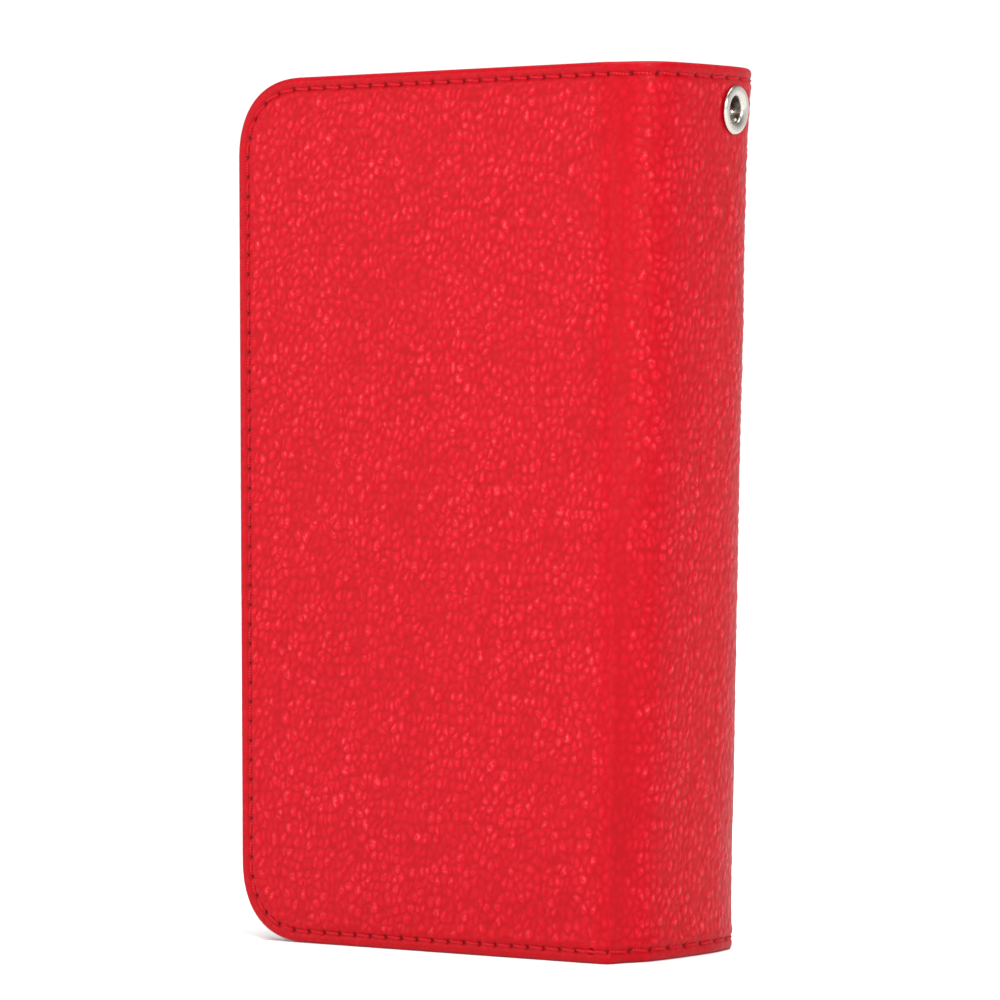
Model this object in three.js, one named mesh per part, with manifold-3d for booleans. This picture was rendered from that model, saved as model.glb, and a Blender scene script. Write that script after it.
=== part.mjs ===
// Phone wallet case: a book-style case with a folding spine, a magnetic phone shell,
// a zip page and card slots. Millimetres, +Z up. The back cover faces +Y, the front cover -Y,
// the spine -X and the free edge +X. The origin is at the middle of the footprint.
import * as THREE from "three";
import { mergeVertices } from "three/addons/utils/BufferGeometryUtils.js";
import Module from "manifold-3d";

const wasm = await Module();
wasm.setup();

// Covers
const HEIGHT = 170;
const HALF_DEPTH = 20;
const PANEL_WIDTH = 91;
const CORNER_R = 15.5;
const CREASE_X = -40.9;
const FREE_X = CREASE_X + PANEL_WIDTH;
const FOLD_GAP = 0.3;
const SKIN = 1.0;
const BOARD = 1.2;
const LINING = 0.8;
const PLY_GAP = 0.1;
const COVER = SKIN + BOARD + LINING + 2 * PLY_GAP;
const HEM = 1.3;
const INNER_Y = HALF_DEPTH - COVER;

// Spine: how far it stands out past the folds at the bottom and at the top
// (the section between is a superellipse of power FULLNESS)
const BULGE_BOTTOM = 1.3;
const BULGE_TOP = 8.3;
const FULLNESS = 3;
const SPINE_STIFFENER = { outer: 1.2, inner: 1.8, half: 15, z0: 6, z1: 151 };
const SPINE_LINING = { outer: 1.95, inner: 2.45, half: 16.5, z0: 0.6, z1: HEIGHT - 0.6 };
const SPINE_SEAM_HALF = 18.2;

// Seams
const SEAM_INSET = 2.3;
const SEAM_GROOVE = { width: 0.9, depth: 0.35 };
const THREAD = { width: 0.5, proud: 0.1, sunk: 0.2 };

// Eyelet
const EYELET_Y = -10.2;
const EYELET_Z = HEIGHT - 8.3;
const EYELET_BORE_R = 2.5;
const EYELET_BARREL_R = 2.9;
const EYELET_FLANGE_R = 4.75;
const EYELET_CROWN = 0.9;
const EYELET_LENGTH = 4.2;
const WASHER_THICK = 0.5;
const CUT_GAP = 0.3;
const ROUND = 24;

// Phone shell
const SHELL = { x0: -34.5, x1: 44.5, z0: 4.4, z1: 165.6, front: 6, back: 15.9, r: 10 };
const SHELL_WALL = 1.5;
const SHELL_FLOOR = 1.4;
const SHELL_LIP = 0.8;
const SHELL_FELT = 0.6;
const PORT_HALF = 8;
const VOLUME_KEYS = [108, 134];
const POWER_KEY = [112, 126];
const PLATE = { x0: -22, x1: 32, z0: 44, z1: 122, thick: 0.5, r: 4 };
const CAMERA = { x0: 14, x1: 39, z0: 134, z1: 159, r: 5 };
const MAGNET_R = 6;
const MAGNET_X = [-12, 22];
const MAGNET_Z = [58, 108];

// Zip page
const PAGE = { x0: -39, x1: 44.2, z0: 7, z1: 163, front: -7, back: 5.2, r: 7 };
const PAGE_WALL = 1.2;
const GUSSET = 1.0;
const ZIP_Y = (PAGE.front + PAGE.back) / 2;
const ZIP_X = 44.05;
const ZIP_Z0 = 12;
const ZIP_Z1 = 158;
const ZIP_STOP = 1.7;
const TAPE_THICK = 0.5;
const TEETH = { near: 0.4, far: 1.65, thick: 1.3, pitch: 2.5, rib: 0.45, width: 1.1 };
const SLIDER_Z = 150.5;
const SLIDER = { half: 3, lip: 0.6, plate: 0.9, length: 8.4, inside: 0.95, slot: 0.55, post: 0.25 };
const BAIL = { half: 0.8, reach: 2.4, bar: 0.8, rise: 1.9 };
const PULL = { half: 2.2, thick: 0.8, pinR: 0.45, pinRise: 0.65, arm: 1, top: 5, length: 22 };
const KEEPER_R = 5;
const CLOSURE_X = 36;
const CLOSURE_Z = [55, 115];
const HINGE_STRIP = { x0: -39.4, x1: -38.8, y0: 5.6, z0: 9, z1: 161 };
const SLIP = { x0: -30, x1: 38, z0: 20, z1: 112, r: 3, deep: 0.9, space: 0.3 };

// Front cover's pockets
const POCKET_SKIN = 0.6;
const CARD_GAP = 0.9;
const NOTE = { x0: -36, x1: 46.5, z0: 5, z1: 165, r: 12 };
const CARDS = { x1: 46.5, z0: 5.5, z1: 94.5, mouth: -29, step: 7, count: 4 };
const BINDING = 2;
const WINDOW = { x0: -30, x1: 46.5, z0: 99, z1: 164, rim: 5 };

const leather = { color: 0xd0192b, roughness: 0.5, metalness: 0 };
const board = { color: 0x9a9184, roughness: 0.9, metalness: 0 };
const lining = { color: 0x8e1822, roughness: 0.9, metalness: 0 };
const thread = { color: 0xb01422, roughness: 0.7, metalness: 0 };
const nickel = { color: 0xc9c7c2, roughness: 0.25, metalness: 1 };
const steel = { color: 0x8c8f93, roughness: 0.4, metalness: 1 };
const magnet = { color: 0x6f7378, roughness: 0.35, metalness: 1 };
const shellPlastic = { color: 0x1b1b1d, roughness: 0.45, metalness: 0 };
const tape = { color: 0xa3141f, roughness: 0.85, metalness: 0 };
const clear = { color: 0xdfe6ea, roughness: 0.1, metalness: 0 };

const object = new THREE.Group();

// A named mesh with its own material.
function add(name, geometry, look) {
  const mesh = new THREE.Mesh(geometry, new THREE.MeshStandardMaterial(look));
  mesh.name = name;
  object.add(mesh);
  return mesh;
}

// A geometry as a solid that can be joined and cut.
function solid(geometry) {
  const bare = geometry.clone();
  bare.deleteAttribute("normal");
  bare.deleteAttribute("uv");
  const merged = mergeVertices(bare, 1e-4);
  return new wasm.Manifold(
    new wasm.Mesh({
      numProp: 3,
      vertProperties: new Float32Array(merged.attributes.position.array),
      triVerts: new Uint32Array(merged.index.array),
    }),
  );
}

// A solid as a geometry.
function geometryOf(made) {
  const { vertProperties, triVerts } = made.getMesh();
  const geometry = new THREE.BufferGeometry();
  geometry.setAttribute("position", new THREE.BufferAttribute(vertProperties, 3));
  geometry.setIndex(new THREE.BufferAttribute(triVerts, 1));
  geometry.computeVertexNormals();
  return geometry;
}

// Joins the first geometries and cuts the others out of them.
function carve(joined, cuts = []) {
  let made = solid(joined[0]);
  for (const more of joined.slice(1)) made = made.add(solid(more));
  for (const cut of cuts) made = made.subtract(solid(cut));
  return geometryOf(made);
}

function box(x0, x1, y0, y1, z0, z1) {
  return new THREE.BoxGeometry(x1 - x0, y1 - y0, z1 - z0).translate(
    (x0 + x1) / 2,
    (y0 + y1) / 2,
    (z0 + z1) / 2,
  );
}

// An outline in X and Z, with one corner radius on the -X side and one on the +X side.
function outline(x0, x1, z0, z1, leftR, rightR) {
  const shape = new THREE.Shape();
  shape.moveTo(x0 + leftR, z0);
  shape.lineTo(x1 - rightR, z0);
  if (rightR) shape.absarc(x1 - rightR, z0 + rightR, rightR, -Math.PI / 2, 0);
  shape.lineTo(x1, z1 - rightR);
  if (rightR) shape.absarc(x1 - rightR, z1 - rightR, rightR, 0, Math.PI / 2);
  shape.lineTo(x0 + leftR, z1);
  if (leftR) shape.absarc(x0 + leftR, z1 - leftR, leftR, Math.PI / 2, Math.PI);
  shape.lineTo(x0, z0 + leftR);
  if (leftR) shape.absarc(x0 + leftR, z0 + leftR, leftR, Math.PI, Math.PI * 1.5);
  return shape;
}

// Extrudes an outline in X and Z along Y.
function slabY(shape, y0, y1, curveSegments = 8) {
  const geometry = new THREE.ExtrudeGeometry(shape, {
    depth: y1 - y0,
    bevelEnabled: false,
    curveSegments,
  });
  return geometry.rotateX(Math.PI / 2).translate(0, y1, 0);
}

// Extrudes an outline in Y and Z along X.
function slabX(shape, x0, x1) {
  const geometry = new THREE.ExtrudeGeometry(shape, { depth: x1 - x0, bevelEnabled: false });
  const turn = new THREE.Matrix4().makeBasis(
    new THREE.Vector3(0, 1, 0),
    new THREE.Vector3(0, 0, 1),
    new THREE.Vector3(1, 0, 0),
  );
  return geometry.applyMatrix4(turn).translate(x0, 0, 0);
}

function discY(radius, x, z, y0, y1) {
  return new THREE.CylinderGeometry(radius, radius, y1 - y0, ROUND).translate(x, (y0 + y1) / 2, z);
}

// The two covers are mirror images: side is +1 for the back cover and -1 for the front one.
function span(side, outer, inner) {
  const ends = [side * outer, side * inner];
  return [Math.min(...ends), Math.max(...ends)];
}

function coverOutline(inset, foldEdge) {
  return outline(foldEdge, FREE_X - inset, inset, HEIGHT - inset, 0, CORNER_R - inset);
}

function coverRing(side, insetOuter, insetInner, outer, inner) {
  const [y0, y1] = span(side, outer, inner);
  const fold = CREASE_X + FOLD_GAP;
  const whole = slabY(coverOutline(insetOuter, fold), y0, y1);
  const middle = slabY(coverOutline(insetInner, fold - 1), y0 - 1, y1 + 1);
  return carve([whole], [middle]);
}

function buildCover(side, name, discs) {
  const fold = CREASE_X + FOLD_GAP;
  const skinInner = HALF_DEPTH - SKIN;
  const boardOuter = skinInner - PLY_GAP / 2;
  const boardInner = boardOuter - BOARD;
  const liningOuter = boardInner - PLY_GAP;
  const tray = slabY(coverOutline(0, fold), ...span(side, HALF_DEPTH, INNER_Y));
  const hollow = slabY(coverOutline(HEM, fold - 1), ...span(side, skinInner, INNER_Y - 1));
  const half = SEAM_GROOVE.width / 2;
  const groove = coverRing(
    side,
    SEAM_INSET - half,
    SEAM_INSET + half,
    HALF_DEPTH + 1,
    HALF_DEPTH - SEAM_GROOVE.depth,
  );
  add(name + "_leather", carve([tray], [hollow, groove]), leather);

  const inner = fold + 1.6;
  const sheet = slabY(coverOutline(HEM + 0.3, inner), ...span(side, boardOuter, boardInner));
  const holes = discs.map(([x, z]) =>
    discY(MAGNET_R + 0.1, x, z, ...span(side, boardOuter + 1, boardInner - 1)),
  );
  add(name + "_board", carve([sheet], holes), board);
  const liningSlab = slabY(coverOutline(HEM + 0.2, inner), ...span(side, liningOuter, INNER_Y));
  add(name + "_lining", liningSlab, lining);
  const halfThread = THREAD.width / 2;
  const line = coverRing(
    side,
    SEAM_INSET - halfThread,
    SEAM_INSET + halfThread,
    HALF_DEPTH + THREAD.proud,
    HALF_DEPTH - THREAD.sunk,
  );
  add(name + "_thread", line, thread);
  return discs.map(([x, z]) => discY(MAGNET_R, x, z, ...span(side, boardOuter - 0.05, boardInner)));
}

// The spine's outer face is CREASE_X - bulge(z) * swell(y).
function bulge(z) {
  return BULGE_BOTTOM + ((BULGE_TOP - BULGE_BOTTOM) * z) / HEIGHT;
}

function swell(y, half = HALF_DEPTH) {
  return Math.pow(1 - Math.pow(Math.abs(y) / half, FULLNESS), 1 / FULLNESS);
}

// A closed band between two faces, each given as (step across, z) => [x, y].
function band(outer, inner, across, heights) {
  const positions = [];
  const index = [];
  const rows = heights.length;
  for (const face of [outer, inner])
    for (let i = 0; i <= across; i++)
      for (const z of heights) positions.push(...face(i, z), z);
  const at = (layer, i, k) => (layer * (across + 1) + i) * rows + k;
  const quad = (a, b, c, d) => index.push(a, c, b, a, d, c);
  for (let i = 0; i < across; i++) {
    for (let k = 0; k < rows - 1; k++) {
      quad(at(0, i, k), at(0, i, k + 1), at(0, i + 1, k + 1), at(0, i + 1, k));
      quad(at(1, i, k), at(1, i + 1, k), at(1, i + 1, k + 1), at(1, i, k + 1));
    }
    quad(at(0, i, 0), at(0, i + 1, 0), at(1, i + 1, 0), at(1, i, 0));
    quad(at(0, i, rows - 1), at(1, i, rows - 1), at(1, i + 1, rows - 1), at(0, i + 1, rows - 1));
  }
  for (let k = 0; k < rows - 1; k++) {
    quad(at(0, 0, k), at(1, 0, k), at(1, 0, k + 1), at(0, 0, k + 1));
    quad(at(0, across, k), at(0, across, k + 1), at(1, across, k + 1), at(1, across, k));
  }
  const geometry = new THREE.BufferGeometry();
  geometry.setAttribute("position", new THREE.Float32BufferAttribute(positions, 3));
  geometry.setIndex(index);
  return geometry;
}

const heightSteps = (z0, z1, count) =>
  Array.from({ length: count + 1 }, (_, k) => z0 + ((z1 - z0) * k) / count);

// A layer of the spine that follows its outer face, from one depth to another.
function spineLayer(depthOuter, depthInner, half, z0, z1, steps) {
  const across = 20;
  const face = (depth) => (i, z) => {
    const y = half - (2 * half * i) / across;
    return [CREASE_X - bulge(z) * swell(y) + depth, y];
  };
  return band(face(depthOuter), face(depthInner), across, heightSteps(z0, z1, steps));
}

const spinePly = (ply, steps) =>
  spineLayer(ply.outer, ply.inner, ply.half, ply.z0, ply.z1, steps);

function spineSkin() {
  const across = 28;
  const power = 2 / FULLNESS;
  const face = (half, depth) => (i, z) => {
    const angle = (Math.PI * i) / across;
    const y = half * Math.sign(Math.cos(angle)) * Math.pow(Math.abs(Math.cos(angle)), power);
    return [CREASE_X - (bulge(z) - depth) * Math.pow(Math.sin(angle), power), y];
  };
  return band(face(HALF_DEPTH, 0), face(HALF_DEPTH - SKIN, SKIN), across, heightSteps(0, HEIGHT, 8));
}

// Stands a lathed piece on the spine at the eyelet, its axis along the spine's outward normal.
function atEyelet(mesh) {
  const step = 0.01;
  const surface = (y, z) => CREASE_X - bulge(z) * swell(y);
  const slopeY = (surface(EYELET_Y + step, EYELET_Z) - surface(EYELET_Y, EYELET_Z)) / step;
  const slopeZ = (surface(EYELET_Y, EYELET_Z + step) - surface(EYELET_Y, EYELET_Z)) / step;
  const normal = new THREE.Vector3(-1, slopeY, slopeZ).normalize();
  mesh.quaternion.setFromUnitVectors(new THREE.Vector3(0, 1, 0), normal);
  mesh.position.set(surface(EYELET_Y, EYELET_Z), EYELET_Y, EYELET_Z);
  mesh.updateMatrix();
  return mesh;
}

function lathe(points) {
  return new THREE.LatheGeometry(points.map(([r, h]) => new THREE.Vector2(r, h)), ROUND);
}

function buildSpine() {
  const hole = new THREE.Mesh(
    new THREE.CylinderGeometry(EYELET_BARREL_R + CUT_GAP, EYELET_BARREL_R + CUT_GAP, 4 * EYELET_LENGTH, ROUND),
  );
  const drill = hole.geometry.clone().applyMatrix4(atEyelet(hole).matrix);
  const half = SEAM_GROOVE.width / 2;
  const halfThread = THREAD.width / 2;
  const seamHeights = { bottom: SEAM_INSET, top: HEIGHT - SEAM_INSET };
  const grooves = Object.values(seamHeights).map((z) =>
    spineLayer(-1, SEAM_GROOVE.depth, SPINE_SEAM_HALF, z - half, z + half, 1),
  );
  add("spine_leather", carve([spineSkin()], [drill, ...grooves]), leather);
  add("spine_stiffener", spinePly(SPINE_STIFFENER, 3), board);
  const liner = spinePly(SPINE_LINING, 6);
  add("spine_lining", carve([liner], [drill]), lining);
  for (const [end, z] of Object.entries(seamHeights)) {
    const reach = SPINE_SEAM_HALF - CUT_GAP;
    const line = spineLayer(-THREAD.proud, THREAD.sunk, reach, z - halfThread, z + halfThread, 1);
    add("spine_thread_" + end, line, thread);
  }
  const foot = CUT_GAP;
  const eyelet = lathe([
    [EYELET_BORE_R, foot - EYELET_LENGTH],
    [EYELET_BARREL_R, foot - EYELET_LENGTH],
    [EYELET_BARREL_R, foot],
    [EYELET_FLANGE_R, foot],
    [EYELET_FLANGE_R, foot + 0.15],
    [EYELET_FLANGE_R - 0.3, foot + 0.6],
    [EYELET_FLANGE_R - 0.85, foot + EYELET_CROWN],
    [EYELET_BORE_R + 0.9, foot + EYELET_CROWN],
    [EYELET_BORE_R + 0.35, foot + 0.6],
    [EYELET_BORE_R, foot],
    [EYELET_BORE_R, foot - EYELET_LENGTH],
  ]);
  atEyelet(add("eyelet", eyelet, nickel));
  const under = -SPINE_LINING.inner - 2 * CUT_GAP;
  const washer = lathe([
    [EYELET_BARREL_R + CUT_GAP, under - WASHER_THICK],
    [EYELET_FLANGE_R + 0.2, under - WASHER_THICK],
    [EYELET_FLANGE_R + 0.2, under],
    [EYELET_BARREL_R + CUT_GAP, under],
    [EYELET_BARREL_R + CUT_GAP, under - WASHER_THICK],
  ]);
  atEyelet(add("eyelet_washer", washer, nickel));
}

function buildBackCover() {
  const places = MAGNET_X.flatMap((x) => MAGNET_Z.map((z) => [x, z]));
  const discs = buildCover(1, "back", places);
  discs.forEach((disc, i) => add("mount_magnet_" + (i + 1), disc, magnet));
  const { x0, x1, y0, z0, z1 } = HINGE_STRIP;
  add("page_hinge_strip", box(x0, x1, y0, INNER_Y - 0.02, z0, z1), lining);
}

function buildFrontCover() {
  const discs = buildCover(-1, "front", CLOSURE_Z.map((z) => [CLOSURE_X, z]));
  discs.forEach((disc, i) => add("closure_magnet_" + (i + 1), disc, magnet));

  const noteOuter = -INNER_Y;
  const noteInner = noteOuter + CARD_GAP + POCKET_SKIN;
  const { x0, x1, z0, z1, r } = NOTE;
  const slab = slabY(outline(x0, x1, z0, z1, 0, r), noteOuter, noteInner);
  const cavity = slabY(
    outline(x0 - 1, x1 - BINDING, z0 + BINDING, z1 - BINDING, 0, r - BINDING),
    noteOuter - 1,
    noteOuter + CARD_GAP,
  );
  add("note_pocket", carve([slab], [cavity]), leather);

  const layer = CARD_GAP + POCKET_SKIN;
  const steps = [];
  for (let k = 0; k < CARDS.count; k++) {
    const mouth = CARDS.mouth + CARDS.step * k;
    const y0 = noteInner + layer * k;
    const y1 = y0 + layer;
    const panel = outline(mouth, CARDS.x1 - BINDING, CARDS.z0 + BINDING, CARDS.z1 - BINDING, 0, 0);
    add("card_slot_" + (k + 1), slabY(panel, y0 + CARD_GAP, y1), leather);
    steps.push(box(mouth, CARDS.x1, y0, y1, CARDS.z0, CARDS.z0 + BINDING));
    steps.push(box(mouth, CARDS.x1, y0, y1, CARDS.z1 - BINDING, CARDS.z1));
    steps.push(box(CARDS.x1 - BINDING, CARDS.x1, y0, y1, CARDS.z0, CARDS.z1));
  }
  add("card_binding", carve(steps), leather);

  const { rim } = WINDOW;
  const inside = outline(
    WINDOW.x0 - 1,
    WINDOW.x1 - rim,
    WINDOW.z0 + rim,
    WINDOW.z1 - rim,
    0,
    NOTE.r - rim,
  );
  const around = outline(WINDOW.x0, WINDOW.x1, WINDOW.z0, WINDOW.z1, 0, NOTE.r);
  const frontY = noteInner + CARD_GAP + POCKET_SKIN;
  const frame = slabY(around, noteInner, frontY);
  add("id_frame", carve([frame], [slabY(inside, noteInner - 1, frontY + 1)]), leather);
  const film = outline(
    WINDOW.x0,
    WINDOW.x1 - rim - 0.1,
    WINDOW.z0 + rim + 0.1,
    WINDOW.z1 - rim - 0.1,
    0,
    NOTE.r - rim,
  );
  add("id_window", slabY(film, frontY - 0.35, frontY - 0.05), clear);
}

function buildPage() {
  const { x0, x1, z0, z1, front, back, r } = PAGE;
  const around = outline(x0, x1, z0, z1, 0, r);
  add("page_back_wall", slabY(around, back - PAGE_WALL, back), leather);
  const wallInner = front + PAGE_WALL;
  const seats = CLOSURE_Z.map((z) => discY(KEEPER_R + 0.1, CLOSURE_X, z, wallInner - 0.7, wallInner + 1));
  add("page_front_wall", carve([slabY(around, front, wallInner)], seats), leather);
  CLOSURE_Z.forEach((z, i) =>
    add("page_keeper_" + (i + 1), discY(KEEPER_R, CLOSURE_X, z, wallInner - 0.65, wallInner), steel),
  );
  const inner = outline(x0 + GUSSET, x1 - GUSSET, z0 + GUSSET, z1 - GUSSET, 0, r - GUSSET);
  const ring = slabY(around, wallInner, back - PAGE_WALL);
  const open = box(x1 - 2, x1 + 1, wallInner - 1, back, ZIP_Z0 - ZIP_STOP - 0.3, ZIP_Z1 + ZIP_STOP + 0.3);
  add("page_gusset", carve([ring], [slabY(inner, wallInner - 1, back), open]), tape);
  const slip = slabY(outline(SLIP.x0, SLIP.x1, SLIP.z0, SLIP.z1, 0, SLIP.r), front - SLIP.deep, front);
  const slipSpace = box(
    SLIP.x0 + BINDING,
    SLIP.x1 - BINDING,
    front - SLIP.space,
    front + 1,
    SLIP.z0 + BINDING,
    SLIP.z1 + 1,
  );
  add("page_slip_pocket", carve([slip], [slipSpace]), leather);
}

// A row of zip teeth on its rib, on the given side of the zip's middle.
function teethRow(side, shift) {
  const { near, far, rib, pitch, width, thick } = TEETH;
  const shape = new THREE.Shape();
  const z0 = ZIP_Z0 + 0.3;
  const z1 = ZIP_Z1 - 0.3;
  const toY = (distance) => ZIP_Y + side * distance;
  shape.moveTo(toY(far), z0);
  shape.lineTo(toY(far - rib), z0);
  for (let z = z0 + 0.4 + shift; z + width < z1; z += pitch) {
    shape.lineTo(toY(far - rib), z);
    shape.lineTo(toY(near), z);
    shape.lineTo(toY(near), z + width);
    shape.lineTo(toY(far - rib), z + width);
  }
  shape.lineTo(toY(far - rib), z1);
  shape.lineTo(toY(far), z1);
  return slabX(shape, ZIP_X - thick / 2, ZIP_X + thick / 2);
}

function buildZip() {
  const reach = (PAGE.back - PAGE.front) / 2 - PAGE_WALL;
  for (const [side, end, shift] of [
    [1, "back", 0],
    [-1, "front", TEETH.pitch / 2],
  ]) {
    const edges = [ZIP_Y + side * TEETH.far, ZIP_Y + side * reach].sort((a, b) => a - b);
    const half = TAPE_THICK / 2;
    const ends = [ZIP_Z0 - ZIP_STOP, ZIP_Z1 + ZIP_STOP];
    add("zip_tape_" + end, box(ZIP_X - half, ZIP_X + half, ...edges, ...ends), tape);
    add("zip_teeth_" + end, teethRow(side, shift), nickel);
  }
  const stop = (z0, z1) =>
    box(ZIP_X - 0.8, ZIP_X + 0.8, ZIP_Y - TEETH.far, ZIP_Y + TEETH.far, z0, z1);
  add("zip_bottom_stop", stop(ZIP_Z0 - ZIP_STOP, ZIP_Z0), nickel);
  add("zip_top_stop", stop(ZIP_Z1, ZIP_Z1 + ZIP_STOP), nickel);

  add("zip_slider", carve(sliderParts()), nickel);
  add("zip_pull", carve(pullParts()), nickel);
}

// The slider: an outer and an inner plate with lips, a post between the teeth and a bail.
function sliderParts() {
  const { half, lip, plate, length, inside, slot, post } = SLIDER;
  const low = SLIDER_Z - length / 2;
  const high = SLIDER_Z + length / 2;
  const pieces = [];
  for (const side of [1, -1]) {
    const far = ZIP_X + side * (inside + plate);
    const across = [ZIP_X + side * inside, far].sort((a, b) => a - b);
    const hook = [ZIP_X + side * slot, far].sort((a, b) => a - b);
    pieces.push(box(...across, ZIP_Y - half, ZIP_Y + half, low, high));
    pieces.push(box(...hook, ZIP_Y + half - lip, ZIP_Y + half, low, high));
    pieces.push(box(...hook, ZIP_Y - half, ZIP_Y - half + lip, low, high));
  }
  pieces.push(box(ZIP_X - 1, ZIP_X + 1, ZIP_Y - post, ZIP_Y + post, high - 2.8, high - 0.6));
  const face = ZIP_X + inside + plate;
  const top = face + BAIL.rise;
  const wide = [ZIP_Y - BAIL.half, ZIP_Y + BAIL.half];
  const above = SLIDER_Z + BAIL.reach;
  const below = SLIDER_Z - BAIL.reach;
  pieces.push(box(face - 0.1, top, ...wide, above - BAIL.bar, above));
  pieces.push(box(face - 0.1, top, ...wide, below, below + BAIL.bar));
  pieces.push(box(top - 0.6, top, ...wide, below, above));
  return pieces;
}

// The pull: a crossbar under the bail, two arms and a tab that hangs down from them.
function pullParts() {
  const { half, thick, pinR, pinRise, arm, top } = PULL;
  const pin = ZIP_X + SLIDER.inside + SLIDER.plate + pinRise;
  const bar = new THREE.CylinderGeometry(pinR, pinR, 2 * half, 12).translate(pin, ZIP_Y, SLIDER_Z);
  const arms = [half - arm, -half].map((y) =>
    box(pin - 0.35, pin + 0.35, ZIP_Y + y, ZIP_Y + y + arm, SLIDER_Z - top - 1, SLIDER_Z),
  );
  const tab = slabX(tabOutline(), pin - thick / 2, pin + thick / 2);
  return [bar, ...arms, tab];
}

function tabOutline() {
  const { half, top, length } = PULL;
  const bottom = SLIDER_Z - length;
  const shape = new THREE.Shape();
  shape.moveTo(ZIP_Y - half, SLIDER_Z - top);
  shape.lineTo(ZIP_Y - half, bottom + half);
  shape.absarc(ZIP_Y, bottom + half, half, Math.PI, Math.PI * 2);
  shape.lineTo(ZIP_Y + half, SLIDER_Z - top);
  return shape;
}

function buildShell() {
  const { x0, x1, z0, z1, front, back, r } = SHELL;
  const floor = back - SHELL_FLOOR;
  const inset = (d) => outline(x0 + d, x1 - d, z0 + d, z1 - d, r - d, r - d);
  const rounded = (at, grow) =>
    outline(at.x0 - grow, at.x1 + grow, at.z0 - grow, at.z1 + grow, at.r, at.r);
  const body = slabY(inset(0), front, back);
  const bay = slabY(inset(SHELL_WALL), front + SHELL_LIP, floor);
  const mouth = slabY(inset(SHELL_WALL + SHELL_LIP), front - 1, front + SHELL_LIP + 0.1);
  const camera = slabY(rounded(CAMERA, 0), floor - 1, back + 2);
  const seat = slabY(rounded(PLATE, 0.1), back - PLATE.thick - 0.1, back + 1);
  const middle = (x0 + x1) / 2;
  const wall = SHELL_WALL + 1;
  const port = box(middle - PORT_HALF, middle + PORT_HALF, front + 2.2, floor - 1, z0 - 1, z0 + wall);
  const volume = box(x0 - 1, x0 + wall, front + 2.5, floor - 1, ...VOLUME_KEYS);
  const power = box(x1 - wall, x1 + 1, front + 2.5, floor - 1, ...POWER_KEY);
  const cuts = [bay, mouth, camera, seat, port, volume, power];
  add("phone_shell", carve([body], cuts), shellPlastic);
  const plate = slabY(rounded(PLATE, 0), back - PLATE.thick - 0.05, back - 0.05);
  add("steel_plate", plate, steel);
  const felt = slabY(inset(1), back, back + SHELL_FELT);
  add("shell_back_skin", carve([felt], [camera]), lining);
}

buildBackCover();
buildSpine();
buildFrontCover();
buildPage();
buildZip();
buildShell();

export default object;
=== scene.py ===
"""Looks of the phone wallet case: pebbled leather sewn round boards, a nickel eyelet, a zip page,
card pockets and a phone tray."""

import math

import bmesh
import bpy
import numpy as np
from mathutils import Matrix, Vector


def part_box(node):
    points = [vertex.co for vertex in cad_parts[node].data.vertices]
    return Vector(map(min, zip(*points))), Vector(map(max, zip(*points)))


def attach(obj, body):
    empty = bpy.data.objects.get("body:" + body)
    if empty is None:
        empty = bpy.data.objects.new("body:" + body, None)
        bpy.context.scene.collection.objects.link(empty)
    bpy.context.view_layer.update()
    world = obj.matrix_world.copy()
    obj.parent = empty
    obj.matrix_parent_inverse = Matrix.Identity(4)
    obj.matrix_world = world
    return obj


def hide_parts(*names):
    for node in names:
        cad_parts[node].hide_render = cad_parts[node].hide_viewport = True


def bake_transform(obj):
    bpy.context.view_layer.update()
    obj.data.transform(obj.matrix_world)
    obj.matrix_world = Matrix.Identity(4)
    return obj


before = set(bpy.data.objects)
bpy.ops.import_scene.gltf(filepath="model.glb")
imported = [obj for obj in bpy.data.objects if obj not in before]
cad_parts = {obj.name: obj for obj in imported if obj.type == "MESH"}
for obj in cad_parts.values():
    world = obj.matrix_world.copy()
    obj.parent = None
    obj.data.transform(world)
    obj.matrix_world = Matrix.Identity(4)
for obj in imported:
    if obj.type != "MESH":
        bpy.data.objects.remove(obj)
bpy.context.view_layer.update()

# Lengths below are in millimetres and become metres when a mesh is made.
MM = 0.001
UV_PER_MM = 0.01


def span_mm(node):
    """A CAD node's extent along X, Y and Z."""
    return [(low / MM, high / MM) for low, high in zip(*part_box(node))]


# Covers, from the CAD model's boxes
(_, FREE_X), (INNER_Y, HALF_DEPTH), (_, HEIGHT) = span_mm("back_leather")
COVER_THICK = HALF_DEPTH - INNER_Y
MID_Z = HEIGHT / 2
CORNER_R = 15.5
CORNER_FULL = 0.045

# Rolled edge: radius outside and inside, how far the leather turns in, and how thick the edge is
# along the spine and at each fold (side 1 is the back cover's, side -1 the front cover's)
ROLL_OUT = 0.95
ROLL_IN = 0.7
TURN_IN = 2.6
SPINE_EDGE = 3.3
CREASE_EDGE = {1: 2.7, -1: 1.5}
SIDES = ((1, "back"), (-1, "front"))

# Spine: its fold line, how far it bellies out past that and how square it is, each from bottom to
# top, and the flare at each end as (size, reach)
FOLD_X = (-39.98, -40.98)
BELLY = (3.15, 9.0)
BELLY_SWELL = 2.5
SQUARENESS = (2.35, 2.85)
FLARE_TOP = (1.01, 12.7)
FLARE_BOTTOM = (0.53, 10.2)

# Seam
SEAM_INSET = 2.3
GROOVE_WIDE, GROOVE_DEEP = 0.5, 0.22
HOLE_WIDE, HOLE_DEEP = 0.42, 0.45
PANEL_PITCH = 3.85
SPINE_PITCH = 4.8
THREAD_R = 0.27
BACK_TACK_X = -35.0
FAR = 99.0

# Grain, and the mesh's step on the back and on the front
PEBBLE = 1.62
PEBBLE_HIGH = 0.34
EDGE_PROUD = 0.45
FINE = 0.31
COARSE = 0.5

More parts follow.
